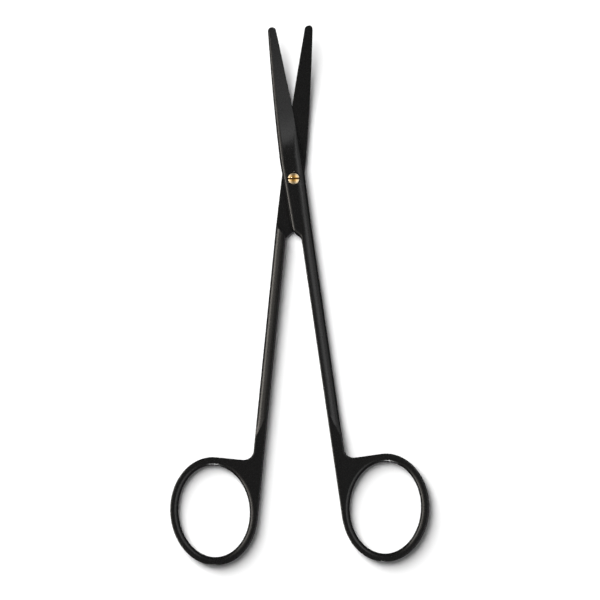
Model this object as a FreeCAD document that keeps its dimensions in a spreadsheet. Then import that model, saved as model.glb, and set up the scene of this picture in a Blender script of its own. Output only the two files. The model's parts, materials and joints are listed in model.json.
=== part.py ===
import FreeCAD, Part
import math
import os

import Sketcher

# Curved dissecting scissors with two finger rings, lying flat and open, as two forged halves on one screw.
# The frame: z = 0 is the underside of the joint, z points up through the screw, y points to the tips.
#
# Both halves come from one forging: a lap joint, a tapered shank and an oval ring. They are worked out
# once, in a half's own frame, where z = 0 is the mating plane, the joint lies above it and the ring lies
# on the +x side. The upper half is used as it stands, with its blade bent away from the mating plane. The
# lower half is turned over about y, with its blade bent the other way, so that both blades curve upwards.

# Driving sizes, in millimetres and degrees: name in the sheet, number, meaning.
SIZES = (
    ("blade_reach", 50.35, "pivot axis to the blade tip, along the closed scissors"),
    ("joint_thickness", 5.0, "thickness of both halves together at the screw"),
    ("joint_outer", 3.85, "pivot axis to the outer side of the joint at the blade's root"),
    ("upper_root_back", 3.68, "pivot axis to the back of the upper blade at its root"),
    ("lower_root_back", 3.45, "pivot axis to the back of the lower blade at its root"),
    ("root_place", 6.0, "pivot axis to the root of the blade, towards the tip"),
    ("heel_back", 3.1, "pivot axis to the back of the joint at its heel"),
    ("upper_heel_place", 17.0, "pivot axis to the upper half's heel, towards the ring"),
    ("lower_heel_place", 15.7, "pivot axis to the lower half's heel, towards the ring"),
    ("heel_angle", 48.0, "slope of the shoulder between heel and shank"),
    ("heel_round", 2.0, "radius of the heel's corner in plan"),
    ("throat_round", 1.0, "radius where the shoulder runs into the shank"),
    ("shoulder_gap", 0.12, "gap between one half's shoulder and the other half's heel when closed"),
    ("shank_clearance", 0.12, "least gap between a half's shoulder and the other half's shank when closed"),
    ("upper_shank_inner", -0.33, "pivot axis to the inner side of the upper half's shank"),
    ("upper_shank_outer", 3.52, "pivot axis to the outer side of the upper half's shank"),
    ("lower_shank_inner", 0.68, "pivot axis to the inner side of the lower half's shank"),
    ("lower_shank_outer", 4.25, "pivot axis to the outer side of the lower half's shank"),
    ("ring_place", 112.1, "pivot axis to the middle of the finger ring, along the shank"),
    ("ring_lean_angle", 9.7, "lean of the ring's long axis, away from the shank at the top"),
    ("hole_width", 23.6, "width of the finger hole"),
    ("hole_length", 30.4, "length of the finger hole"),
    ("ring_rod", 2.7, "width of the ring's rod, seen from above"),
    ("ring_thickness", 3.5, "thickness of the ring at its far end"),
    ("taper_start", 13.0, "pivot axis to the place where the half starts to get thinner"),
    ("crotch_round", 3.3, "radius in the corner between shank and ring"),
    ("back_round", 1.4, "rounding of the joint's edges, from the blade's back round the heel to the throat"),
    ("outer_round", 0.4, "rounding of the edges of shank and ring, all round the outside"),
    ("hole_round", 1.3, "rounding of the edges of the finger hole"),
    ("crown_depth", 1.6, "how far the oval rounding of the outer side reaches down it"),
    ("joint_crown", 2.75, "how far the oval rounding reaches over the joint"),
    ("crest_inset", 0.5, "inner side of the shank to where the oval rounding starts"),
    ("crown_end", 79.0, "pivot axis to where the oval rounding starts to run out, towards the ring"),
    ("crown_runout", 12.5, "length over which the oval rounding runs out"),
    ("bend_start", 15.0, "pivot axis to the start of the blade's curve"),
    ("bend_radius", 80.0, "radius of the blade's curve"),
    ("blade_relief", 0.04, "how far each blade's inner face lies back from the mating surface"),
    ("blade_swell", 0.28, "bulge of the blade's back beyond a straight taper"),
    ("edge_swell", 0.13, "bulge of the cutting edge beyond a straight taper"),
    ("end_back", 1.41, "blade's middle line to its back, where the round tip starts"),
    ("end_edge", 1.29, "blade's middle line to its cutting edge, where the round tip starts"),
    ("tip_thickness", 1.2, "thickness of each blade at its tip"),
    ("tip_crest", 0.8, "rounding of the blade's back at its tip"),
    ("edge_land", 0.3, "height of the wall that the cutting edge leaves at the outer facet"),
    ("edge_bevel", 0.12, "small rounding above the cutting edge"),
    ("rest_angle", 14.0, "angle between the blades as the scissors lie"),
    ("head_diameter", 3.84, "screw head"),
    ("head_rim", 0.62, "height of the screw head's straight rim"),
    ("head_rise", 0.42, "rise of the dome above the rim"),
    ("head_clearance", 0.05, "gap under the screw head"),
    ("slot_width", 0.46, "width of the driver's slot"),
    ("slot_depth", 0.55, "depth of the slot below the top of the dome"),
    ("sink_diameter", 4.4, "counterbore around the screw head"),
    ("sink_depth", 0.95, "depth of the counterbore"),
    ("bearing_diameter", 2.9, "plain part of the screw on which the upper half turns"),
    ("bearing_clearance", 0.03, "gap all round the bearing"),
    ("thread_diameter", 2.2, "threaded end of the screw, in the lower half"),
    ("thread_clearance", 0.02, "gap all round the threaded end"),
)

# Where the blade's cross-sections stand, as shares of the way from its root to the start of its round
# tip. The last one lies past the tip, which is cut round afterwards.
STATIONS = (0.0, 0.1, 0.2, 0.35, 0.5, 0.65, 0.8, 1.0, 1.06)
# Where the outer side's oval rounding runs out, as shares of its run-out. It lifts slowly at first.
RUNOUT_STATIONS = (0.25, 0.5, 0.75, 1.0)
# The share of that way over which the flat joint turns into the blade's sloping facet.
FACET_SHARE = 0.35
# Lengths that only have to be long enough: cutting tools reach past the work by this much.
REACH = 3.0
WIDE_REACH = 6.0
# The small rounding above the cutting edge is this many times as wide as it is high.
BEVEL_SLANT = 1.5
# The blade's sections start this far below the mating surface, which is cut afterwards.
OVERSHOOT = 0.8
GROOVE_DEPTH = 14.0
GROOVE_ANGLE = 90.0
# The tip's arc is this much wider than the blade, so that it crosses the blade's sides cleanly.
TIP_EASE = 0.02


class Bound:
    """A number together with the sheet formula that gives it."""

    def __init__(self, value, formula):
        self.value = value
        self.formula = formula

    def __add__(self, other):
        other = bound(other)
        return Bound(self.value + other.value, f"({self.formula} + {other.formula})")

    def __sub__(self, other):
        other = bound(other)
        return Bound(self.value - other.value, f"({self.formula} - {other.formula})")

    def __mul__(self, other):
        other = bound(other)
        return Bound(self.value * other.value, f"({self.formula} * {other.formula})")

    def __truediv__(self, other):
        other = bound(other)
        return Bound(self.value / other.value, f"({self.formula} / {other.formula})")

    def __neg__(self):
        return Bound(-self.value, f"(0 - {self.formula})")

    def __rsub__(self, other):
        return bound(other) - self

    __radd__ = __add__
    __rmul__ = __mul__


def bound(item):
    if isinstance(item, Bound):
        return item
    return Bound(float(item), f"({float(item)})")


def root(item):
    return Bound(math.sqrt(item.value), f"sqrt({item.formula})")


def sine(angle):
    return Bound(math.sin(math.radians(angle.value)), f"sin({angle.formula})")


def cosine(angle):
    return Bound(math.cos(math.radians(angle.value)), f"cos({angle.formula})")


def arcsine(ratio):
    return Bound(math.degrees(math.asin(ratio.value)), f"asin({ratio.formula})")


doc = FreeCAD.newDocument("dissecting_scissors")
sheet = doc.addObject("Spreadsheet::Sheet", "Sizes")
size = {}
for row, (name, number, meaning) in enumerate(SIZES, start=1):
    sheet.set(f"A{row}", meaning)
    sheet.set(f"B{row}", str(number))
    sheet.setAlias(f"B{row}", name)
    size[name] = Bound(number, f"Sizes.{name}")
doc.recompute()

ZERO = bound(0.0)
half_thickness = size["joint_thickness"] / 2
heel_tangent = sine(size["heel_angle"]) / cosine(size["heel_angle"])

# The ring's outer ellipse stands on the line of the shank's inner side, which fixes its middle. The web
# between ring and shank runs level with the ellipse's highest point.
ring_half_width = size["hole_width"] / 2 + size["ring_rod"]
ring_half_length = size["hole_length"] / 2 + size["ring_rod"]
lean_across = ring_half_length * sine(size["ring_lean_angle"])
lean_along = ring_half_width * cosine(size["ring_lean_angle"])
ring_side_reach = root(lean_across * lean_across + lean_along * lean_along)
top_along = ring_half_length * cosine(size["ring_lean_angle"])
top_across = ring_half_width * sine(size["ring_lean_angle"])
ring_top_reach = root(top_along * top_along + top_across * top_across)

# The blunt tip is half a circle on a plane that touches the curved mating surface.
tip_radius = (size["end_back"] + size["end_edge"]) / 2 + TIP_EASE
tip_middle = (size["end_edge"] - size["end_back"]) / 2
tip_slope = arcsine((size["blade_reach"] - tip_radius - size["bend_start"]) / size["bend_radius"])
tip_place = size["blade_reach"] - tip_radius * cosine(tip_slope)


class Forging:
    """What differs between the two halves, and the places that follow from it."""

    def __init__(self, side, other):
        self.root_back = size[f"{side}_root_back"]
        self.shank_inner = size[f"{side}_shank_inner"]
        self.shank_outer = size[f"{side}_shank_outer"]
        self.clear_side = size["shank_clearance"] - size[f"{other}_shank_inner"]
        self.heel_place = size[f"{side}_heel_place"]
        self.shoulder_place = size[f"{other}_heel_place"]
        self.throat_place = self.heel_place + (size["heel_back"] + self.shank_inner) * heel_tangent
        self.ring_middle = (self.shank_inner + ring_side_reach, -size["ring_place"])


def origin_item(body, role):
    return next(item for item in body.Origin.OriginFeatures if item.Role == role)


def new_sketch(body, name, role):
    """Put an empty sketch on one of the body's own origin planes."""
    sketch = body.newObject("Sketcher::SketchObject", name)
    sketch.AttachmentSupport = [(origin_item(body, role), "")]
    sketch.MapMode = "FlatFace"
    return sketch


def dimension(sketch, kind, *target):
    """Add one driven dimension: the last item of target is its size."""
    *where, amount = target
    index = sketch.addConstraint(Sketcher.Constraint(kind, *where, amount.value))
    sketch.setExpression(f"Constraints[{index}]", amount.formula)


def place(sketch, shape, end, point):
    """Hold one end of a shape at a point, measured from the sketch's origin."""
    for kind, amount in zip(("DistanceX", "DistanceY"), point):
        dimension(sketch, kind, -1, 1, shape, end, bound(amount))


def vector(point):
    return FreeCAD.Vector(bound(point[0]).value, bound(point[1]).value, 0)


def arc_between(start, end, centre, turn):
    """An arc about centre from start to end, anticlockwise where turn is 1 and clockwise where it is -1."""
    first, last = (start, end) if turn > 0 else (end, start)
    ray_first = vector(first) - vector(centre)
    ray_last = vector(last) - vector(centre)
    circle = Part.Circle(vector(centre), FreeCAD.Vector(0, 0, 1), ray_first.Length)
    angle_first = math.atan2(ray_first.y, ray_first.x)
    angle_last = math.atan2(ray_last.y, ray_last.x)
    if angle_last <= angle_first:
        angle_last += 2 * math.pi
    return Part.ArcOfCircle(circle, angle_first, angle_last)


def draw(sketch, corners, arcs=None):
    """Close a chain of corners with lines, and with arcs where arcs gives {corner: (centre, radius, turn)}."""
    arcs = arcs or {}
    ends = []
    for index, start in enumerate(corners):
        end = corners[(index + 1) % len(corners)]
        if index in arcs:
            centre, radius, turn = arcs[index]
            shape = sketch.addGeometry(arc_between(start, end, centre, turn), False)
            dimension(sketch, "Radius", shape, radius)
            ends.append((shape, 1, 2) if turn > 0 else (shape, 2, 1))
        else:
            shape = sketch.addGeometry(Part.LineSegment(vector(start), vector(end)), False)
            ends.append((shape, 1, 2))
    for index, (shape, start, _) in enumerate(ends):
        before, _, before_end = ends[index - 1]
        sketch.addConstraint(Sketcher.Constraint("Coincident", before, before_end, shape, start))
        place(sketch, shape, start, corners[index])


def circle_at(sketch, centre, radius):
    """A full circle, with its middle on the sketch's origin or elsewhere."""
    shape = sketch.addGeometry(Part.Circle(vector(centre), FreeCAD.Vector(0, 0, 1), radius.value), False)
    dimension(sketch, "Radius", shape, radius)
    if centre == (ZERO, ZERO):
        sketch.addConstraint(Sketcher.Constraint("Coincident", shape, 3, -1, 1))
    else:
        place(sketch, shape, 3, centre)


def ellipse_at(sketch, centre, tip, side, half_width, make_shape):
    """An ellipse or a piece of one, held by its middle, the tip of its long axis and its width."""
    shape = sketch.addGeometry(make_shape(Part.Ellipse(vector(tip), vector(side), vector(centre))), False)
    sketch.exposeInternalGeometry(shape)
    long_axis = shape + 1
    short_axis = shape + 2
    ends = {end: (sketch.getPoint(long_axis, end) - vector(tip)).Length for end in (1, 2)}
    place(sketch, shape, 3, centre)
    place(sketch, long_axis, min(ends, key=ends.get), tip)
    dimension(sketch, "Distance", short_axis, half_width * 2)
    return shape


def ring_ellipse(sketch, centre, half_length, half_width, make_shape):
    """The ring's outside or its hole, which both lean away from the shank."""
    lean = size["ring_lean_angle"]
    tip = (centre[0] + half_length * sine(lean), centre[1] + half_length * cosine(lean))
    side = (centre[0] - half_width * cosine(lean), centre[1] + half_width * sine(lean))
    return ellipse_at(sketch, centre, tip, side, half_width, make_shape)


def quarter_oval(sketch, outer, height, across, down, side):
    """The oval rounding in cross-section, from the outer wall to the crest; side is -1 for the lower face."""
    centre = (outer - across, (height - down) * side)
    tip = (outer, centre[1])
    crest = (centre[0], height * side)
    top = (centre[0], centre[1] + down)
    first, last = (0.0, math.pi / 2) if side > 0 else (-math.pi / 2, 0.0)
    shape = ellipse_at(sketch, centre, tip, top, down, lambda ellipse: Part.ArcOfEllipse(ellipse, first, last))
    wall_end, crest_end = (1, 2) if side > 0 else (2, 1)
    dimension(sketch, "DistanceY", -1, 1, shape, wall_end, tip[1])
    dimension(sketch, "DistanceX", -1, 1, shape, crest_end, crest[0])
    return (shape, wall_end, crest_end), tip, crest


def finish_feature(feature):
    doc.recompute()
    shape = feature.Shape
    if shape.isNull() or not shape.isValid():
        raise RuntimeError(f"{feature.Name} of {feature.getParentGeoFeatureGroup().Label} is not a sound solid")
    return feature


def new_feature(body, kind, name, profile, **settings):
    feature = body.newObject(f"PartDesign::{kind}", name)
    feature.Profile = profile
    for setting, value in settings.items():
        if isinstance(value, Bound):
            feature.setExpression(setting, value.formula)
        else:
            setattr(feature, setting, value)
    return finish_feature(feature)


def cut(body, name, profile, kind="Pocket", **settings):
    """Cut with a pocket or groove, and stop if it took nothing away."""
    before = body.Shape.Volume
    feature = new_feature(body, kind, name, profile, **settings)
    if body.Shape.Volume > before - 1e-3:
        raise RuntimeError(f"{name} cut nothing from {body.Label}")
    return feature


def round_edges(body, name, radius, wanted):
    """Fillet the edges of the body's last feature for which wanted(edge) is true."""
    base = body.Tip
    names = [f"Edge{i}" for i, edge in enumerate(base.Shape.Edges, start=1) if wanted(edge)]
    feature = body.newObject("PartDesign::Fillet", name)
    feature.Base = (base, names)
    feature.setExpression("Radius", radius.formula)
    return finish_feature(feature)


def segments(sketch, corners):
    """Straight lines from each corner to the next."""
    return [
        sketch.addGeometry(Part.LineSegment(vector(start), vector(end)), False)
        for start, end in zip(corners, corners[1:])
    ]


def close_chain(sketch, chain):
    """Join pieces given as (piece, first end, last end) end to end, and the last one to the first."""
    for (before, _, before_end), (piece, start, _) in zip([chain[-1], *chain], chain):
        sketch.addConstraint(Sketcher.Constraint("Coincident", before, before_end, piece, start))


def plan_profile(body, forging):
    """Joint, shank and ring from above, up to the blade's root, with sharp corners at heel and crotch."""
    sketch = new_sketch(body, "plan", "XY_Plane")
    middle_x, middle_y = forging.ring_middle
    tilt = ring_half_length * ring_half_length - ring_half_width * ring_half_width
    tilt = tilt * sine(size["ring_lean_angle"]) * cosine(size["ring_lean_angle"])
    ring_top = (middle_x + tilt / ring_top_reach, middle_y + ring_top_reach)
    corners = (
        ring_top,
        (forging.shank_outer, ring_top[1]),
        (forging.shank_outer, -forging.heel_place),
        (size["joint_outer"], size["root_place"]),
        (-forging.root_back, size["root_place"]),
        (-size["heel_back"], -forging.heel_place),
        (forging.shank_inner, -forging.throat_place),
        (forging.shank_inner, middle_y - tilt / ring_side_reach),
    )
    lines = segments(sketch, corners)
    # The ellipse runs anticlockwise from where it touches the shank's inner side to its own highest point.
    touch = math.pi - math.atan2(lean_along.value, lean_across.value)
    top = 2 * math.pi + math.atan2(top_across.value, top_along.value)
    ring = ring_ellipse(
        sketch,
        forging.ring_middle,
        ring_half_length,
        ring_half_width,
        lambda ellipse: Part.ArcOfEllipse(ellipse, touch, top),
    )
    close_chain(sketch, [(shape, 1, 2) for shape in (*lines, ring)])
    for line, corner in zip(lines[1:], corners[1:]):
        place(sketch, line, 1, corner)
    dimension(sketch, "DistanceY", -1, 1, ring, 1, corners[-1][1])
    dimension(sketch, "DistanceX", -1, 1, ring, 2, ring_top[0])
    return sketch


def taper_profile(body, name, side):
    """The wedge above (side 1) or below (side -1) a half that gets thinner from joint to ring."""
    sketch = new_sketch(body, name, "YZ_Plane")
    end_place = size["ring_place"] + ring_half_length
    corners = [
        (-size["taper_start"], half_thickness * side),
        (-size["taper_start"], (half_thickness + REACH) * side),
        (-(end_place + REACH), (half_thickness + REACH) * side),
        (-(end_place + REACH), size["ring_thickness"] / 2 * side),
    ]
    draw(sketch, corners)
    return sketch


def face_height(place_along):
    """Half the thickness of the forging at a distance from the pivot, towards the ring."""
    run = place_along - size["taper_start"]
    if run.value <= 0:
        return half_thickness
    full_run = size["ring_place"] + ring_half_length + REACH - size["taper_start"]
    return half_thickness - (half_thickness - size["ring_thickness"] / 2) * run / full_run


def crown_section(body, name, along, outer, across, side, lift=ZERO):
    """What the oval rounding takes off the outer side, seen along the shank, at one distance from the pivot."""
    sketch = new_sketch(body, name, "XZ_Plane")
    sketch.setExpression("AttachmentOffset.Base.z", along.formula)
    height = face_height(along) + lift
    arc, wall, crest = quarter_oval(sketch, outer + lift, height, across, size["crown_depth"], side)
    far = outer + WIDE_REACH
    top = (height + REACH) * side
    corners = (wall, (far, wall[1]), (far, top), (crest[0], top), crest)
    lines = segments(sketch, corners)
    for line, corner in zip(lines[1:], corners[1:]):
        place(sketch, line, 1, corner)
    shape, wall_end, crest_end = arc
    close_chain(sketch, [(shape, crest_end, wall_end), *((line, 1, 2) for line in lines)])
    return sketch


def cut_crown(body, forging, side):
    """Round the outer side of joint and shank to an oval, by cutters of like section from root to ring."""
    root_at = -size["root_place"]
    shank = forging.shank_outer - forging.shank_inner - size["crest_inset"]
    end = size["crown_end"]
    heel = forging.heel_place
    taper = size["taper_start"]

    def outer_at(along):
        share = (along - root_at) / (heel - root_at)
        return size["joint_outer"] + (forging.shank_outer - size["joint_outer"]) * share

    stations = (
        (root_at - REACH, size["joint_outer"], size["joint_crown"], ZERO),
        (root_at, size["joint_outer"], size["joint_crown"], ZERO),
        (taper, outer_at(taper), size["joint_crown"], ZERO),
        (heel, forging.shank_outer, size["joint_crown"], ZERO),
        (forging.throat_place + REACH, forging.shank_outer, shank, ZERO),
        (end, forging.shank_outer, shank, ZERO),
        *(
            (end + size["crown_runout"] * share, forging.shank_outer, shank, size["crown_depth"] * share * share)
            for share in RUNOUT_STATIONS
        ),
    )
    label = "upper_crown" if side > 0 else "lower_crown"
    sketches = [
        crown_section(body, f"{label}_{index}", bound(along), outer, across, side, lift)
        for index, (along, outer, across, lift) in enumerate(stations)
    ]
    cut(body, label, sketches[0], kind="SubtractiveLoft", Sections=sketches[1:], Ruled=True)


def rise(place_along):
    """How far the mating surface has left its plane at a distance from the pivot."""
    if place_along.value <= size["bend_start"].value:
        return ZERO
    run = place_along - size["bend_start"]
    radius = size["bend_radius"]
    return radius - root(radius * radius - run * run)


def blend(share, start, end):
    return start + (end - start) * share


def blade_section(body, forging, index, share, bend):
    """One cross-section of the blade: a wall and a rounding at the back, the facet, and the cutting edge."""
    sketch = new_sketch(body, f"section_{index}", "XZ_Plane")
    along = blend(share, size["root_place"], tip_place)
    sketch.setExpression("AttachmentOffset.Base.z", (-along).formula)
    arch = 4 * share * (1 - share)
    turned = min(1.0, share / FACET_SHARE)
    turned = turned * turned * (3 - 2 * turned)
    height = blend(share, half_thickness, size["tip_thickness"])
    back = blend(share, forging.root_back, size["end_back"]) + size["blade_swell"] * arch
    edge = blend(share, size["joint_outer"], size["end_edge"]) + size["edge_swell"] * arch
    crest = blend(share, size["back_round"], size["tip_crest"])
    land = blend(turned, half_thickness - size["crown_depth"], size["edge_land"])
    down = blend(turned, size["crown_depth"], size["edge_bevel"])
    across = blend(turned, size["joint_crown"], size["edge_bevel"] * BEVEL_SLANT)
    floor = rise(along) * bend
    oval, wall, shoulder = quarter_oval(sketch, edge, floor + land + down, across, down, 1)
    corners = (
        shoulder,
        (crest - back, floor + height),
        (-back, floor + height - crest),
        (-back, floor - OVERSHOOT),
        (edge, floor - OVERSHOOT),
        wall,
    )
    centre = (crest - back, floor + height - crest)
    round_back = sketch.addGeometry(arc_between(corners[1], corners[2], centre, 1), False)
    dimension(sketch, "Radius", round_back, crest)
    crest_line, wall_line, floor_line, edge_line = (
        segments(sketch, corners[index : index + 2])[0] for index in (0, 2, 3, 4)
    )
    pieces = (crest_line, round_back, wall_line, floor_line, edge_line)
    close_chain(sketch, [oval, *((piece, 1, 2) for piece in pieces)])
    for piece, corner in zip(pieces[1:], corners[1:]):
        place(sketch, piece, 1, corner)
    return sketch


def mating_profile(body, bend):
    """What lies below the mating surface, from the pivot axis outwards: flat, a small step, then the curve."""
    sketch = new_sketch(body, "mating_curve", "YZ_Plane")
    far = size["blade_reach"] + REACH
    start = size["bend_start"]
    relief = size["blade_relief"]
    corners = (
        (bound(REACH), ZERO),
        (start, ZERO),
        (start, relief),
        (far, rise(far) * bend + relief),
        (far, bound(-GROOVE_DEPTH)),
        (bound(REACH), bound(-GROOVE_DEPTH)),
    )
    arcs = {2: ((start, relief + size["bend_radius"] * bend), size["bend_radius"], bend)}
    draw(sketch, corners, arcs)
    return sketch


def tip_profile(body, bend):
    """What lies outside the blunt round tip, on the tilted plane."""
    sketch = new_sketch(body, "tip", "XY_Plane")
    sketch.AttachmentOffset = FreeCAD.Placement(
        FreeCAD.Vector(), FreeCAD.Rotation(FreeCAD.Vector(bend, 0, 0), tip_slope.value)
    )
    sketch.setExpression("AttachmentOffset.Base.y", tip_place.formula)
    sketch.setExpression("AttachmentOffset.Base.z", (rise(tip_place) * bend).formula)
    sketch.setExpression("AttachmentOffset.Rotation.Angle", tip_slope.formula)
    wide = bound(WIDE_REACH)
    first, last = (tip_middle - tip_radius, ZERO), (tip_middle + tip_radius, ZERO)
    arc = sketch.addGeometry(arc_between(last, first, (tip_middle, ZERO), 1), False)
    sides = (first, (-wide, ZERO), (-wide, wide), (wide, wide), (wide, ZERO), last)
    lines = segments(sketch, sides)
    place(sketch, arc, 3, (tip_middle, ZERO))
    dimension(sketch, "Radius", arc, tip_radius)
    for end in (1, 2):
        sketch.addConstraint(Sketcher.Constraint("PointOnObject", arc, end, -1))
    close_chain(sketch, [(arc, 1, 2), *((line, 1, 2) for line in lines)])
    for line, corner in zip(lines[1:], sides[1:]):
        place(sketch, line, 1, corner)
    return sketch


def lap_profile(body, forging):
    """What the other half needs below the mating plane: all in front of the shoulder and beside the shank."""
    sketch = new_sketch(body, "lap", "XY_Plane")
    wide = size["joint_outer"] + REACH
    front = size["root_place"] + REACH
    gap = size["shoulder_gap"] / cosine(size["heel_angle"])

    def shoulder(across):
        return (across, (across - size["heel_back"]) * heel_tangent - forging.shoulder_place - gap)

    side = forging.clear_side
    back = -forging.throat_place - REACH
    draw(sketch, ((wide, front), (-wide, front), (-wide, back), (side, back), shoulder(side), shoulder(wide)))
    return sketch


def at_root(point):
    return abs(point.y - size["root_place"].value) < 1e-3


def is_upright(edge):
    first, last = edge.Vertexes[0].Point, edge.Vertexes[-1].Point
    return (first - last).Length > 0.5 and math.hypot(first.x - last.x, first.y - last.y) < 1e-3


def samples(edge):
    """The two ends and the middle of an edge."""
    run = edge.LastParameter - edge.FirstParameter
    return [edge.valueAt(edge.FirstParameter + run * share) for share in (0.0, 0.5, 1.0)]


def make_half(label, forging, bend):
    """One half in its own frame; bend is 1 where the blade curves away from the mating plane, or -1."""
    body = doc.addObject("PartDesign::Body", label)
    body.Label = label
    plan = plan_profile(body, forging)
    new_feature(body, "Pad", "blank", plan, Length=size["joint_thickness"], SideType="Symmetric")

    heel = (-size["heel_back"].value, -forging.heel_place.value)
    throat = (forging.shank_inner.value, -forging.throat_place.value)
    crotch = forging.shank_outer.value

    def near(corner):
        return lambda edge: is_upright(edge) and math.dist(edge.Vertexes[0].Point[:2], corner) < 0.01

    def in_crotch(edge):
        x, y, _ = edge.Vertexes[0].Point
        return is_upright(edge) and abs(x - crotch) < 0.01 and y < 2 * throat[1]

    round_edges(body, "heel", size["heel_round"], near(heel))
    round_edges(body, "crotch", size["crotch_round"], in_crotch)
    cut(body, "upper_taper", taper_profile(body, "above", 1), Type="ThroughAll", SideType="Symmetric")
    cut(body, "lower_taper", taper_profile(body, "below", -1), Type="ThroughAll", SideType="Symmetric")

    thin = size["ring_thickness"].value / 2 - 0.01

    def long_edge(edge):
        points = samples(edge)
        one_side = all(p.z > thin for p in points) or all(p.z < -thin for p in points)
        return one_side and not all(at_root(p) for p in points)

    def back_edge(edge):
        return long_edge(edge) and all(p.x < throat[0] + 0.01 and p.y > throat[1] - 0.01 for p in samples(edge))

    def outer_edge(edge):
        points = samples(edge)
        return long_edge(edge) and (all(p.x > throat[0] - 0.01 for p in points) or points[1].y < throat[1])

    round_edges(body, "back_edges", size["back_round"], back_edge)
    round_edges(body, "outer_edges", size["outer_round"], outer_edge)

    hole = new_sketch(body, "hole", "XY_Plane")
    ring_ellipse(hole, forging.ring_middle, size["hole_length"] / 2, size["hole_width"] / 2, lambda ellipse: ellipse)
    cut(body, "finger_hole", hole, Type="ThroughAll", SideType="Symmetric")
    middle = [amount.value for amount in forging.ring_middle]
    reach = size["hole_length"].value / 2 + 0.01

    def hole_edge(edge):
        return long_edge(edge) and all(math.dist(p[:2], middle) < reach for p in samples(edge))

    round_edges(body, "hole_edges", size["hole_round"], hole_edge)
    round_edges(body, "throat", size["throat_round"], near(throat))
    cut_crown(body, forging, 1)
    cut_crown(body, forging, -1)

    cut(body, "lap_recess", lap_profile(body, forging), Length=half_thickness + REACH)
    sections = [blade_section(body, forging, index, share, bend) for index, share in enumerate(STATIONS)]
    new_feature(body, "AdditiveLoft", "blade", sections[0], Sections=sections[1:])
    mating = mating_profile(body, bend)
    cut(
        body,
        "mating_surface",
        mating,
        kind="Groove",
        ReferenceAxis=(mating, ["V_Axis"]),
        Angle=GROOVE_ANGLE,
        Midplane=True,
    )
    cut(body, "round_tip", tip_profile(body, bend), Type="ThroughAll", SideType="Symmetric")
    return body


def bore(body, name, radius, depth=None):
    """A round hole about the pivot axis, right through or down from the joint's outer face."""
    sketch = new_sketch(body, name + "_circle", "XY_Plane")
    circle_at(sketch, (ZERO, ZERO), radius)
    if depth is None:
        return cut(body, name, sketch, Type="ThroughAll", SideType="Symmetric")
    sketch.setExpression("AttachmentOffset.Base.z", half_thickness.formula)
    return cut(body, name, sketch, Length=depth)


def make_screw():
    """The pivot screw, turned about its axis from the slotted dome down to the end that is ground flush."""
    body = doc.addObject("PartDesign::Body", "pivot_screw")
    body.Label = "pivot_screw"
    head = size["head_diameter"] / 2
    bearing = size["bearing_diameter"] / 2
    thread = size["thread_diameter"] / 2
    seat = half_thickness
    under = size["joint_thickness"] - size["sink_depth"] + size["head_clearance"]
    rim = under + size["head_rim"]
    top = rim + size["head_rise"]
    dome = (head * head + size["head_rise"] * size["head_rise"]) / (size["head_rise"] * 2)
    corners = (
        (ZERO, ZERO),
        (thread, ZERO),
        (thread, seat),
        (bearing, seat),
        (bearing, under),
        (head, under),
        (head, rim),
        (ZERO, top),
    )
    profile = new_sketch(body, "turned_profile", "XZ_Plane")
    draw(profile, corners, {6: ((ZERO, top - dome), dome, 1)})
    new_feature(body, "Revolution", "turned", profile, ReferenceAxis=(profile, ["V_Axis"]), Angle=360.0)
    slot = new_sketch(body, "slot_profile", "YZ_Plane")
    half_slot = size["slot_width"] / 2
    floor = top - size["slot_depth"]
    draw(slot, ((-half_slot, floor), (half_slot, floor), (half_slot, top + 1), (-half_slot, top + 1)))
    cut(body, "slot", slot, Type="ThroughAll", SideType="Symmetric")
    return body


upper_half = make_half("upper_half", Forging("upper", "lower"), 1)
bore(upper_half, "bearing_hole", size["bearing_diameter"] / 2 + size["bearing_clearance"])
bore(upper_half, "screw_sink", size["sink_diameter"] / 2, size["sink_depth"])
upper_half.setExpression(
    "Placement",
    "placement(vector(0; 0; Sizes.joint_thickness / 2); rotationz(Sizes.rest_angle / 2))",
)

lower_half = make_half("lower_half", Forging("lower", "upper"), -1)
bore(lower_half, "thread_hole", size["thread_diameter"] / 2 + size["thread_clearance"])
lower_half.setExpression(
    "Placement",
    "placement(vector(0; 0; Sizes.joint_thickness / 2); rotationz(-Sizes.rest_angle / 2) * rotationy(180))",
)

pivot_screw = make_screw()

doc.recompute()
for item in doc.Objects:
    if "Invalid" in item.State or "Error" in item.State:
        raise RuntimeError(f"{item.Label} failed: {item.State}")

os.makedirs("parts", exist_ok=True)
for body in (upper_half, lower_half, pivot_screw):
    shape = body.Shape
    if shape.isNull() or not shape.isValid() or len(shape.Solids) != 1:
        raise RuntimeError(f"{body.Label} is not one sound solid")
    shape.exportStep(f"parts/{body.Label}.step")
    print(body.Label, round(shape.Volume, 2), "mm3", shape.BoundBox)
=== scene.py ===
# %% [markdown]
# Dissecting scissors, dressed for a studio picture
# The two halves and the screw arrive ready made, each at its real size and place. What is left to do is what
# a finisher and a photographer do: give the steel its satin black coat, gild the screw, and light a thing
# that is almost black so that its form still shows. Black metal has hardly any colour of its own. What the
# eye reads as its shape is the row of soft reflections along its rounded sides, so the lights matter here
# as much as the materials.

# %% Load the frame
import json
import math

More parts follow.
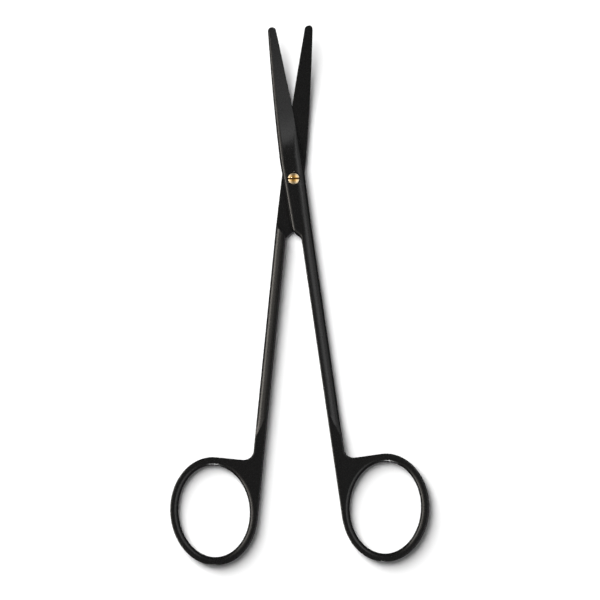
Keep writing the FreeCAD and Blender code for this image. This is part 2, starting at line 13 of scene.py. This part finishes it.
import bpy
import numpy as np
from mathutils import Euler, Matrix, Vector

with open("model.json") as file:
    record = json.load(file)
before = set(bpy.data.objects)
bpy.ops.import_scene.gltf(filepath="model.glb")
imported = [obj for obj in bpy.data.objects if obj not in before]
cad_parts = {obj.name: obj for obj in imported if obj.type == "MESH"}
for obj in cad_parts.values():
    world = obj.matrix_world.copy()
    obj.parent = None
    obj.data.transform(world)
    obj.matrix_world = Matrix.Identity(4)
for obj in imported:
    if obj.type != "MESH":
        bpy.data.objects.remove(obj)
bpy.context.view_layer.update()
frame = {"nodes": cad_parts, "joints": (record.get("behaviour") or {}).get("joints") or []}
nodes = frame["nodes"]
MM = 0.001
pivot = Vector(frame["joints"][0]["pos_m"])
print("pieces:", ", ".join(sorted(nodes)), "pivot:", tuple(pivot))

# %% [markdown]
# The camera hangs straight above, as in a catalogue picture. From close by, the raised tips would look
# nearer and longer than they are, so a long lens looks on from two and a half metres away. The scissors lie
# with a slight turn in the picture. It is made by rolling the camera, because the model itself must stay
# where it is.

# %% Camera
CAMERA_HEIGHT = 2.5
FIELD_WIDTH = 0.1985
SENSOR_WIDTH = 36.0
ROLL = math.radians(-1.31)
MIDDLE_RIGHT = 0.0021
MIDDLE_DOWN = 0.04016

picture_right = Vector((math.cos(ROLL), math.sin(ROLL), 0))
picture_up = Vector((-math.sin(ROLL), math.cos(ROLL), 0))
aim = pivot + picture_right * MIDDLE_RIGHT - picture_up * MIDDLE_DOWN

lens = bpy.data.cameras.new("camera")
lens.sensor_width = SENSOR_WIDTH
lens.lens = SENSOR_WIDTH * CAMERA_HEIGHT / FIELD_WIDTH
lens.clip_start, lens.clip_end = 0.01, 20
camera = bpy.data.objects.new("camera", lens)
camera.location = aim + Vector((0, 0, CAMERA_HEIGHT))
camera.rotation_euler = Euler((0, 0, ROLL))
bpy.context.scene.collection.objects.link(camera)
bpy.context.scene.camera = camera
print("lens", round(lens.lens, 1), "mm, aimed at", tuple(round(c, 4) for c in aim))

# %% [markdown]
# The floor is plain white paper. It is one large square under the scissors. The metal doesn't mirror it: so
# close to the paper, a real wall of black steel sees little but its own shadow.

# %% Floor
FLOOR_HALF = 3.0
PAPER_COLOUR = (0.9, 0.9, 0.9, 1)


def new_material(name):
    """A fresh Principled material; returns it with its node tree and its shader."""
    material = bpy.data.materials.new(name)
    material.use_nodes = True
    return material, material.node_tree, material.node_tree.nodes["Principled BSDF"]


white_paper, _, paper_shader = new_material("white_paper")
paper_shader.inputs["Base Color"].default_value = PAPER_COLOUR
paper_shader.inputs["Roughness"].default_value = 1.0
paper_shader.inputs["Specular IOR Level"].default_value = 0.0

corners = np.array([(-1, -1, 0), (1, -1, 0), (1, 1, 0), (-1, 1, 0)], float) * FLOOR_HALF
paper = bpy.data.meshes.new("floor")
paper.from_pydata(corners.tolist(), [], [(0, 1, 2, 3)])
paper.materials.append(white_paper)
floor = bpy.data.objects.new("floor", paper)
bpy.context.scene.collection.objects.link(floor)
floor.visible_glossy = False
print("floor", 2 * FLOOR_HALF, "m wide")

# %% [markdown]
# Every light is a flat panel that faces the middle of the scissors. One picture of a studio wrapped round the
# scene could light it too, but with separate panels each highlight on the metal can be placed and dimmed by
# itself. A panel beside the scissors is described as the metal sees it: how high it stands, how much of the
# sky it fills and how bright it looks. Its place, size and power follow from that.

# %% Light panels
MIDDLE = Vector((0, -0.04, 0))
PANEL_DISTANCE = 1.3
PANEL_LENGTH = 1.8
WHITE = (1, 1, 1)


def panel(name, place, size, watts, colour=WHITE):
    """A soft rectangular light that faces the scissors. Its size is (width, height) in metres."""
    light = bpy.data.lights.new(name, "AREA")
    light.shape = "RECTANGLE"
    light.size, light.size_y = size
    light.energy = watts
    light.color = colour
    made = bpy.data.objects.new(name, light)
    made.location = place
    made.rotation_euler = (MIDDLE - Vector(place)).to_track_quat("-Z", "Y").to_euler()
    made.visible_camera = False
    bpy.context.scene.collection.objects.link(made)
    return made


def side_panel(name, side, elevation, spread, radiance, colour=WHITE):
    """A reflection panel beside the scissors: side is -1 or 1, elevation and spread are in degrees.

    Its height is what the spread covers at its distance, and its power is radiance times area times pi."""
    angle = math.radians(elevation)
    place = MIDDLE + Vector((side * math.cos(angle), 0, math.sin(angle))) * PANEL_DISTANCE
    height = 2 * PANEL_DISTANCE * math.tan(math.radians(spread) / 2)
    watts = radiance * PANEL_LENGTH * height * math.pi
    made = panel(name, place, (PANEL_LENGTH, height), watts, colour)
    made.visible_diffuse = False
    return made


print("side panels:", PANEL_LENGTH, "m long,", PANEL_DISTANCE, "m away")

# %% [markdown]
# Light comes from a large soft box at the upper left. It makes the paper white and gives the short soft
# shadow to the right and below. A second box straight above fills the shadow. Both are kept out of the
# reflections. These come from panels of their own, all long in the direction of the shanks. A bright one low
# on the left draws the thin line along every left edge, and a dim one above it lets that line fade inwards.
# Both are slightly warm, which gives the black its brown cast. A dim pair on the right lifts the slopes that
# face it. A small one low in front gives the two sparks inside the finger rings.

# %% Lights
WARM = (1.0, 0.94, 0.86)

key_box = panel("key_box", place=(-0.55, 0.55, 1.0), size=(0.7, 1.4), watts=32.0)
fill_box = panel("fill_box", place=(0.0, -0.04, 1.6), size=(3.2, 3.2), watts=5.0)
for unseen in (key_box, fill_box):
    unseen.visible_glossy = False

side_panel("left_strip", side=-1, elevation=30, spread=20, radiance=5.6, colour=WARM)
side_panel("left_glow", side=-1, elevation=57, spread=26, radiance=0.9, colour=WARM)
side_panel("right_strip", side=1, elevation=64, spread=20, radiance=1.45)
side_panel("right_glow", side=1, elevation=35, spread=30, radiance=0.55)
low_front = panel("low_front", place=(-0.15, -1.5, 0.22), size=(0.12, 0.12), watts=9.0)
low_front.visible_diffuse = False

# %% [markdown]
# The room itself is dark, so the faces that look straight up stay almost black. The picture is shown with
# the plain Standard view, because a film-like one would grey the black coat and dull the paper.

# %% Room and view
WORLD_LEVEL = 0.1

world = bpy.data.worlds.new("studio")
world.use_nodes = True
room = world.node_tree.nodes["Background"]
room.inputs["Color"].default_value = (*WHITE, 1)
room.inputs["Strength"].default_value = WORLD_LEVEL
bpy.context.scene.world = world

view = bpy.context.scene.view_settings
view.view_transform = "Standard"
view.look = "None"
print("room level", WORLD_LEVEL, "view", view.view_transform)

# %% [markdown]
# Small helpers for shader graphs. A graph is made with the same two moves over and over: add a node, and
# give each of its sockets a number or a link. Two functions make these moves, and a third uses them for one
# step of arithmetic.

# %% Nodes and links
def feed(tree, value, socket):
    """Give a socket its value: a link where the value is another socket, otherwise a plain setting."""
    if isinstance(value, bpy.types.NodeSocket):
        tree.links.new(value, socket)
    else:
        socket.default_value = value


def node(tree, kind, **settings):
    """Add a node and set its plain settings."""
    made = tree.nodes.new(kind)
    for name, value in settings.items():
        setattr(made, name, value)
    return made


def maths(tree, operation, *values):
    """One arithmetic step on up to three numbers or sockets."""
    made = node(tree, "ShaderNodeMath", operation=operation)
    for value, socket in zip(values, made.inputs):
        feed(tree, value, socket)
    return made.outputs[0]


print("graph helpers: feed, node and maths")

# %% [markdown]
# The finishes are built from five larger steps: a noise, its centring, a climb from 0 to 1, a blend of two
# colours and a bump. Each is a function that adds its node, links it and returns its output, so a finish
# reads like a recipe.

# %% Steps of a finish
BUMP_DEPTH = 0.02 * MM


def noise(tree, place, scale, detail=2.0):
    """Noise from 0 to 1, with scale blobs to a metre and detail finer layers over them."""
    made = node(tree, "ShaderNodeTexNoise")
    feed(tree, place, made.inputs["Vector"])
    feed(tree, scale, made.inputs["Scale"])
    feed(tree, detail, made.inputs["Detail"])
    return made.outputs["Fac"]


def centred(tree, value):
    """Noise less its middle, 0.5, so that it lowers as much as it lifts."""
    return maths(tree, "SUBTRACT", value, 0.5)


def climb(tree, value, start, end):
    """0 up to start, 1 from end on, and a straight line between them."""
    made = node(tree, "ShaderNodeMapRange")
    feed(tree, value, made.inputs["Value"])
    feed(tree, start, made.inputs["From Min"])
    feed(tree, end, made.inputs["From Max"])
    return made.outputs["Result"]


def blend_colours(tree, mask, first, second):
    """The first colour where the mask is 0, and the second where it is 1.

    A Mix node has sockets of every type under the same names, so the colours are found by number."""
    mix = node(tree, "ShaderNodeMix", data_type="RGBA")
    for value, socket in zip((mask, first, second), (mix.inputs[0], mix.inputs[6], mix.inputs[7])):
        feed(tree, value, socket)
    return mix.outputs[2]


def bumped(tree, height, strength, normal):
    """The normal of a surface raised by height times BUMP_DEPTH; strength is how much of that tilt to keep."""
    made = node(tree, "ShaderNodeBump")
    feed(tree, strength, made.inputs["Strength"])
    feed(tree, BUMP_DEPTH, made.inputs["Distance"])
    feed(tree, height, made.inputs["Height"])
    feed(tree, normal, made.inputs["Normal"])
    return made.outputs["Normal"]


print("steps: noise, centred, climb, blend_colours and bumped, with a bump depth of", BUMP_DEPTH, "m")

# %% [markdown]
# An effect that more than one finish needs is a shader group: built once, with named inputs and outputs, and
# placed in each material with values of its own. Two materials can then differ in grain without a second
# copy of the graph.

# %% Shader groups
def new_group(name, takes, gives):
    """An empty shader group; takes and gives are {socket name: type}. Returns it with both sets of sockets."""
    tree = bpy.data.node_groups.new(name, "ShaderNodeTree")
    for direction, sockets in (("INPUT", takes), ("OUTPUT", gives)):
        for label, kind in sockets.items():
            tree.interface.new_socket(label, in_out=direction, socket_type=f"NodeSocket{kind}")
    return tree, node(tree, "NodeGroupInput").outputs, node(tree, "NodeGroupOutput").inputs


def use_group(tree, group, **values):
    """Place a group in a material and set its inputs by name; returns its outputs."""
    made = node(tree, "ShaderNodeGroup", node_tree=group)
    for name, value in values.items():
        feed(tree, value, made.inputs[name])
    return made.outputs


print("groups so far:", len(bpy.data.node_groups))

# %% [markdown]
# Satin finish. Before it is coated, forged steel is blasted with fine beads, which leaves dimples of about a
# tenth of a millimetre. The coat follows them. Real dimples would take millions of faces, so two sizes of
# noise stand for them: the fine one is the dimples, and the coarse one is the uneven hand of the blaster.
# Both go to the height of a bump, where the coarse one counts for little, so that the bright lines stay
# whole. The coarse one goes to the roughness too.

# %% Satin grain
COARSE_SCALE = 0.12
COARSE_HEIGHT = 0.1


def make_satin_grain():
    """Height: fine noise plus a little coarse noise. Rough: Base plus Spread times the centred coarse one."""
    takes = {"Vector": "Vector", "Grain": "Float", "Base": "Float", "Spread": "Float"}
    tree, given, out = new_group("satin_grain", takes, {"Height": "Float", "Rough": "Float"})
    fine = noise(tree, given["Vector"], given["Grain"])
    coarser = maths(tree, "MULTIPLY", given["Grain"], COARSE_SCALE)
    coarse = noise(tree, given["Vector"], coarser, detail=3.0)
    height = maths(tree, "MULTIPLY_ADD", coarse, COARSE_HEIGHT, fine)
    rough = maths(tree, "MULTIPLY_ADD", centred(tree, coarse), given["Spread"], given["Base"])
    feed(tree, height, out["Height"])
    feed(tree, rough, out["Rough"])
    return tree


satin_grain = make_satin_grain()
print("group", satin_grain.name, "with", len(satin_grain.nodes), "nodes")

# %% [markdown]
# Worn edges and painted edge sheen. A real edge is never quite sharp. Years of cleaning round it by a quarter
# of a millimetre, so it catches the light as a thin line. The Bevel node gives the normal that such a rounded
# edge would have, and leaves the mesh as it is. How far that departs from the true normal says how near the
# edge is, and noise breaks the line up. Where this mask is high the finishes are coloured paler: partly wear
# of the coat, partly a painted highlight along the edge. The screw uses it in the same way, so this is a group
# too.

# %% Worn edges and painted edge sheen
EDGE_RADIUS = 0.25 * MM
EDGE_SAMPLES = 6


def make_edge_wear_and_sheen():
    """Normal: as on an edge rounded by Radius.

    Mask: 1 minus the dot product of that and the true normal, times the wear-and-sheen input, times noise, and
    at most 1. It marks where edges are worn and where a paler highlight is painted."""
    takes = {"Vector": "Vector", "Radius": "Float", "Patches": "Float", "Wear": "Float"}
    tree, given, out = new_group("edge_wear_and_sheen", takes, {"Mask": "Float", "Normal": "Vector"})
    # The mask made here colours edges paler: partly wear, partly a painted highlight.
    bevel = node(tree, "ShaderNodeBevel", samples=EDGE_SAMPLES)
    feed(tree, given["Radius"], bevel.inputs["Radius"])
    rounded_normal = bevel.outputs["Normal"]
    true_normal = node(tree, "ShaderNodeNewGeometry").outputs["Normal"]
    facing = node(tree, "ShaderNodeVectorMath", operation="DOT_PRODUCT")
    feed(tree, rounded_normal, facing.inputs[0])
    feed(tree, true_normal, facing.inputs[1])
    turned = maths(tree, "SUBTRACT", 1.0, facing.outputs["Value"])
    near = maths(tree, "MULTIPLY", turned, given["Wear"])
    patches = noise(tree, given["Vector"], given["Patches"])
    worn = maths(tree, "MULTIPLY", near, patches)
    feed(tree, maths(tree, "MINIMUM", worn, 1.0), out["Mask"])
    feed(tree, rounded_normal, out["Normal"])
    return tree


edge_wear_and_sheen = make_edge_wear_and_sheen()
print("group", edge_wear_and_sheen.name, "with", len(edge_wear_and_sheen.nodes), "nodes")

# %% [markdown]
# Grinding lines. The last grinding leaves fine lines along the blade and the shank of each half. An
# anisotropic shader could hint at them, but it follows the directions of the faces, and here these are
# loose triangles. So the lines are noise drawn out a hundredfold in one direction, which is turned to lie
# along each half. Around the finger rings the grinder goes round and round, and the lines fade out.

# %% Grinding lines
LINES_ACROSS, LINES_ALONG = 6000.0, 60.0
RINGS_FROM, RINGS_TO = -92 * MM, -80 * MM


def grinding_lines(tree, place, turn):
    """Centred noise on coordinates turned by -turn degrees about Z, LINES_ACROSS and LINES_ALONG to a metre.

    It is multiplied by a climb from 0 at the finger rings to 1 on the shanks."""
    drawn_out = node(tree, "ShaderNodeMapping", vector_type="TEXTURE")
    feed(tree, place, drawn_out.inputs["Vector"])
    feed(tree, (0, 0, math.radians(turn)), drawn_out.inputs["Rotation"])
    feed(tree, (1 / LINES_ACROSS, 1 / LINES_ALONG, 1 / LINES_ACROSS), drawn_out.inputs["Scale"])
    lines = noise(tree, drawn_out.outputs["Vector"], 1.0)
    parts = node(tree, "ShaderNodeSeparateXYZ")
    feed(tree, place, parts.inputs["Vector"])
    on_shank = climb(tree, parts.outputs["Y"], RINGS_FROM, RINGS_TO)
    return maths(tree, "MULTIPLY", centred(tree, lines), on_shank)


print("lines", round(1000 / LINES_ACROSS, 2), "mm wide and", round(1000 / LINES_ALONG, 1), "mm long")

# %% [markdown]
# The black coat. It is a hard dark layer on steel: no body colour to speak of, a weak even mirror, and a
# little rougher than polished steel. A metallic shader this dark would hardly mirror at all, so the coat is
# a dark shader that isn't metallic. The halves lie seven degrees to either side of the middle line, so each
# gets its own copy of the coat with the lines along it.

# %% Black coat
COAT_COLOUR = (0.0024, 0.0023, 0.0023, 1)
# The paler edge colour below is partly wear and partly a painted highlight.
EDGE_WEAR_AND_SHEEN_COLOUR = (0.03, 0.028, 0.026, 1)
HALF_OPENING = 7.0
LINE_HEIGHT, LINE_ROUGHNESS = 0.9, 0.12
COAT_BUMP = 0.1
COAT_POLISH = 0.06


def make_black_coat(name, turn):
    """Height: grain plus lines. Roughness: grain plus a share of the lines, less COAT_POLISH where worn."""
    material, tree, shader = new_material(name)
    place = node(tree, "ShaderNodeTexCoord").outputs["Object"]
    grain = use_group(tree, satin_grain, Vector=place, Grain=9000.0, Base=0.27, Spread=0.07)
    edge = use_group(tree, edge_wear_and_sheen, Vector=place, Radius=EDGE_RADIUS, Patches=900.0, Wear=3.0)
    lines = grinding_lines(tree, place, turn)

    height = maths(tree, "MULTIPLY_ADD", lines, LINE_HEIGHT, grain["Height"])
    feed(tree, bumped(tree, height, COAT_BUMP, edge["Normal"]), shader.inputs["Normal"])
    rough = maths(tree, "MULTIPLY_ADD", lines, LINE_ROUGHNESS, grain["Rough"])
    polished = maths(tree, "MULTIPLY_ADD", edge["Mask"], -COAT_POLISH, rough)
    feed(tree, polished, shader.inputs["Roughness"])
    # Painted highlight and wear: the coat is coloured paler along edges, where the edge mask is high.
    colour = blend_colours(tree, edge["Mask"], COAT_COLOUR, EDGE_WEAR_AND_SHEEN_COLOUR)
    feed(tree, colour, shader.inputs["Base Color"])
    return material


nodes["upper_half"].material_slots[0].material = make_black_coat("black_coat_upper", HALF_OPENING)
nodes["lower_half"].material_slots[0].material = make_black_coat("black_coat_lower", -HALF_OPENING)
print("coats:", [nodes[half].material_slots[0].material.name for half in ("upper_half", "lower_half")])

# %% [markdown]
# The gold screw. It is turned steel with a thin gold plating, so this shader is metallic. The lathe leaves
# rings around its axis, which are a wave of the distance from the axis. The outer part of the dome and the
# rim's edge are coloured a paler gold: a painted highlight that whitens the reflections there, with some real
# wear on the edge. The slot is rougher, and it is coloured a dark brown gold as painted shade in the recess.
# The slot runs across the scissors, so its mask is the distance from the X axis.

# %% Gold
GOLD = (0.95, 0.53, 0.12, 1)
# Painted shade: the dark brown gold of the slot.
SLOT_SHADE_GOLD = (0.2, 0.1, 0.025, 1)
# Painted highlight: the paler gold, and the distances from the axis over which it takes over on the dome.
SHEEN_GOLD = (1.0, 0.88, 0.64, 1)
SLOT_HALF = 0.26 * MM
SHEEN_FROM, SHEEN_TO = 0.8 * MM, 1.9 * MM
TURNS_PER_METRE = 4500.0
TURN_HEIGHT = 0.5
SLOT_ROUGHNESS = 0.25
GOLD_BUMP = 0.08
GOLD_POLISH = 0.08


def make_gold(name):
    """Turns: the sine of the distance from the Z axis. Slot: 1 where |y| is under half the slot's width."""
    material, tree, shader = new_material(name)
    shader.inputs["Metallic"].default_value = 1.0
    place = node(tree, "ShaderNodeTexCoord").outputs["Object"]
    grain = use_group(tree, satin_grain, Vector=place, Grain=6000.0, Base=0.3, Spread=0.1)
    edge = use_group(tree, edge_wear_and_sheen, Vector=place, Radius=EDGE_RADIUS, Patches=1500.0, Wear=10.0)
    parts = node(tree, "ShaderNodeSeparateXYZ")
    feed(tree, place, parts.inputs["Vector"])
    x, y = parts.outputs["X"], parts.outputs["Y"]
    squares = maths(tree, "ADD", maths(tree, "MULTIPLY", x, x), maths(tree, "MULTIPLY", y, y))
    distance = maths(tree, "SQRT", squares)
    turns = maths(tree, "SINE", maths(tree, "MULTIPLY", distance, TURNS_PER_METRE * 2 * math.pi))
    in_slot = maths(tree, "LESS_THAN", maths(tree, "ABSOLUTE", y), SLOT_HALF)

    height = maths(tree, "MULTIPLY_ADD", turns, TURN_HEIGHT, grain["Height"])
    feed(tree, bumped(tree, height, GOLD_BUMP, edge["Normal"]), shader.inputs["Normal"])
    rough = maths(tree, "MULTIPLY_ADD", in_slot, SLOT_ROUGHNESS, grain["Rough"])
    polished = maths(tree, "MULTIPLY_ADD", edge["Mask"], -GOLD_POLISH, rough)
    feed(tree, polished, shader.inputs["Roughness"])
    # Painted highlight: the outer dome and the worn rim are coloured a paler gold.
    painted_sheen = maths(tree, "MAXIMUM", edge["Mask"], climb(tree, distance, SHEEN_FROM, SHEEN_TO))
    dome = blend_colours(tree, painted_sheen, GOLD, SHEEN_GOLD)
    # Painted shade: the slot is coloured dark brown gold.
    feed(tree, blend_colours(tree, in_slot, dome, SLOT_SHADE_GOLD), shader.inputs["Base Color"])
    return material


nodes["pivot_screw"].material_slots[0].material = make_gold("gold_plating")
print("screw:", nodes["pivot_screw"].material_slots[0].material.name)
